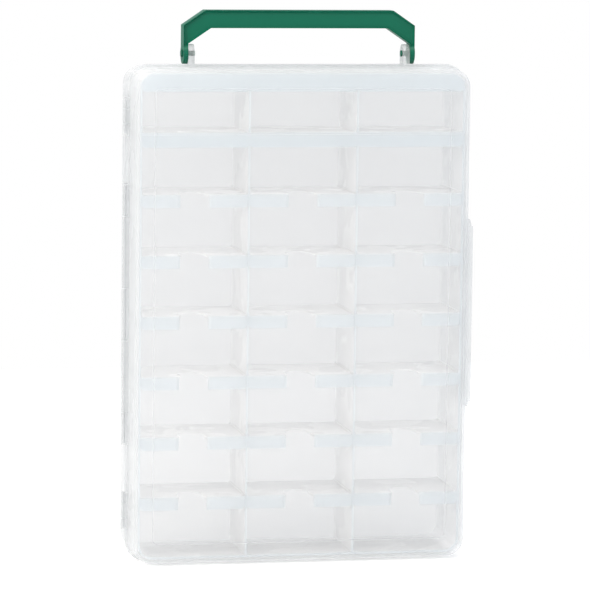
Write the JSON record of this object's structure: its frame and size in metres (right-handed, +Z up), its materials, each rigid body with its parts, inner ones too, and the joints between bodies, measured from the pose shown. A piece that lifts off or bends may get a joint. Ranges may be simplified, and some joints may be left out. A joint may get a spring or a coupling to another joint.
{
  "type": "sewing box",
  "caption": "Upright translucent carrying case for sewing thread, with lift-out trays, notched dividers, a hinged lid, a long side latch and a folding handle.",
  "frame": {"origin": "middle of the bounding box at floor height, with the case standing on its long end", "axes": "+Z up along the case towards the handle, +Y from the lid to the back, +X from the hinges to the latch"},
  "size_m": [0.2818, 0.076, 0.4426],
  "materials": {
    "case": "milky translucent moulded polypropylene",
    "tray": "milky translucent moulded polypropylene",
    "divider": "milky translucent moulded polypropylene",
    "handle": "semi-gloss moulded green polypropylene",
    "handle_pivot": "semi-gloss moulded green polypropylene",
    "pin": "drawn steel wire"
  },
  "bodies": {
    "base": {"base_shell": "case", "hinge_pin_upper": "pin", "hinge_pin_middle": "pin", "hinge_pin_lower": "pin", "latch_pin": "pin", "handle_pivot_left": "handle_pivot", "handle_pivot_right": "handle_pivot", "accessory_tray": "tray", "thread_tray": "tray", "divider_1_left": "divider", "divider_1_middle": "divider", "divider_1_right": "divider", "divider_2_left": "divider", "divider_2_middle": "divider", "divider_2_right": "divider", "divider_3_left": "divider", "divider_3_middle": "divider", "divider_3_right": "divider", "divider_4_left": "divider", "divider_4_middle": "divider", "divider_4_right": "divider", "divider_5_left": "divider", "divider_5_middle": "divider", "divider_5_right": "divider", "divider_6_left": "divider", "divider_6_middle": "divider", "divider_6_right": "divider"},
    "lid": {"lid_shell": "case"},
    "latch": {"latch_flap": "case"},
    "handle": {"handle": "handle"}
  },
  "joints": [
    {"name": "lid_hinge", "type": "hinge", "parent": "base", "child": "lid", "pos_m": [-0.13855, -0.008, 0.2], "axis": [0, 0, -1], "range_deg": [0, 180]},
    {"name": "latch_hinge", "type": "hinge", "parent": "base", "child": "latch", "pos_m": [0.13885, -0.0036, 0.2], "axis": [0, 0, 1], "range_deg": [0, 110]},
    {"name": "handle_fold", "type": "hinge", "parent": "base", "child": "handle", "pos_m": [0.00215, 0, 0.408], "axis": [1, 0, 0], "range_deg": [-90, 90]}
  ]
}
